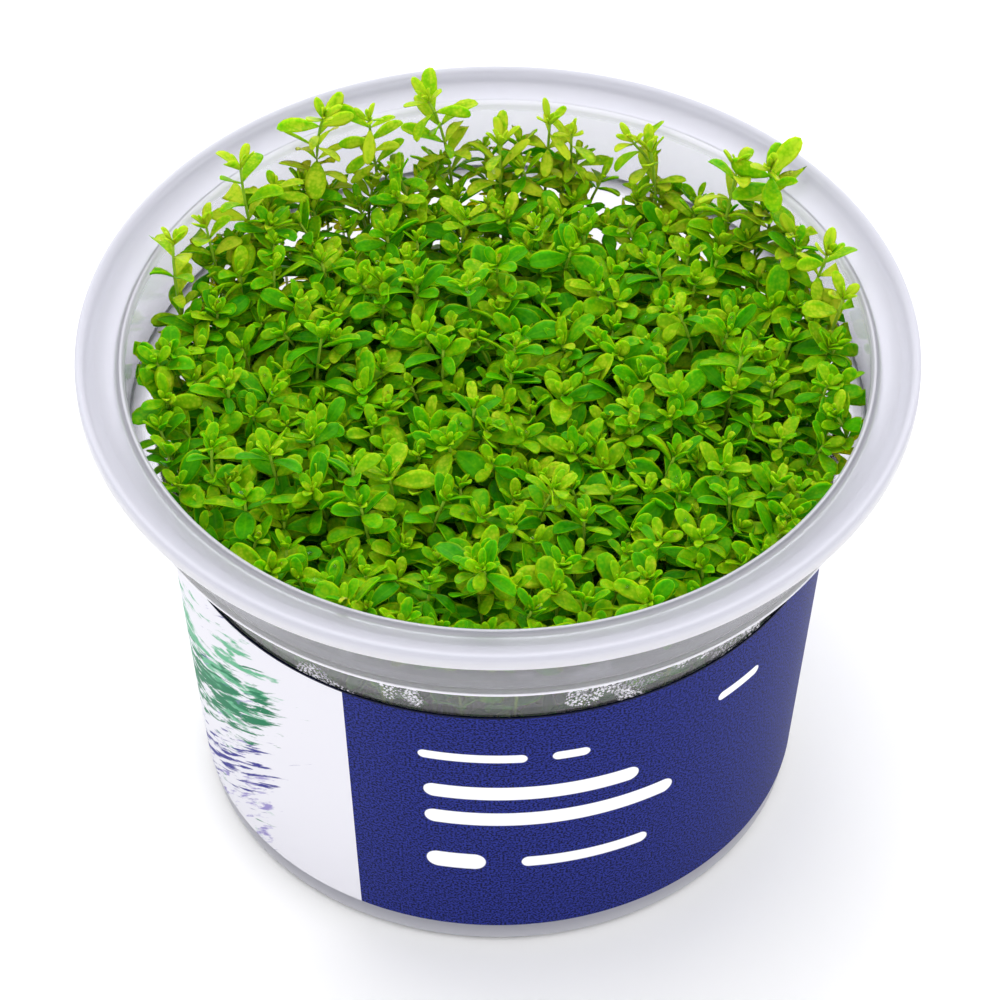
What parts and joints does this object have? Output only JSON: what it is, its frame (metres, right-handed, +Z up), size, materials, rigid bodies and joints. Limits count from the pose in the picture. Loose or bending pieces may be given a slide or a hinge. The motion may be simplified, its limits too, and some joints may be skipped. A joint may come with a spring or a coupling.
{
  "type": "potted pearlweed",
  "caption": "Small-leaved carpeting water plant filling an open, flanged, translucent culture cup with a plain two-tone wrap label, standing on its flat base.",
  "frame": {"origin": "centre of the cup's base, on the surface it stands on", "axes": "+Z up out of the cup's mouth; -Y towards the front, where the label's two panels meet; +X to the right seen from the front"},
  "size_m": [0.104, 0.104, 0.0766],
  "materials": {
    "cup_plastic": "translucent milky polypropylene, injection moulded, satin gloss",
    "label_print": "satin printed film, one panel deep blue and one panel white",
    "gel": "clear, slightly milky nutrient gel",
    "foliage": "fresh yellow-green leaves with a soft waxy sheen and paler edges"
  },
  "bodies": {
    "root": {"cup": "cup_plastic", "label": "label_print", "nutrient_gel": "gel", "tuft_01": "foliage", "tuft_02": "foliage", "tuft_03": "foliage", "tuft_04": "foliage", "tuft_05": "foliage", "tuft_06": "foliage", "tuft_07": "foliage", "tuft_08": "foliage", "tuft_09": "foliage", "tuft_10": "foliage", "tuft_11": "foliage", "tuft_12": "foliage", "tuft_13": "foliage", "tuft_14": "foliage", "tuft_15": "foliage", "tuft_16": "foliage", "tuft_17": "foliage", "tuft_18": "foliage", "tuft_19": "foliage", "tuft_20": "foliage", "tuft_21": "foliage", "tuft_22": "foliage", "tuft_23": "foliage", "tuft_24": "foliage", "tuft_25": "foliage", "tuft_26": "foliage", "tuft_27": "foliage", "tuft_28": "foliage", "tuft_29": "foliage", "tuft_30": "foliage", "tuft_31": "foliage", "tuft_32": "foliage"}
  },
  "joints": []
}
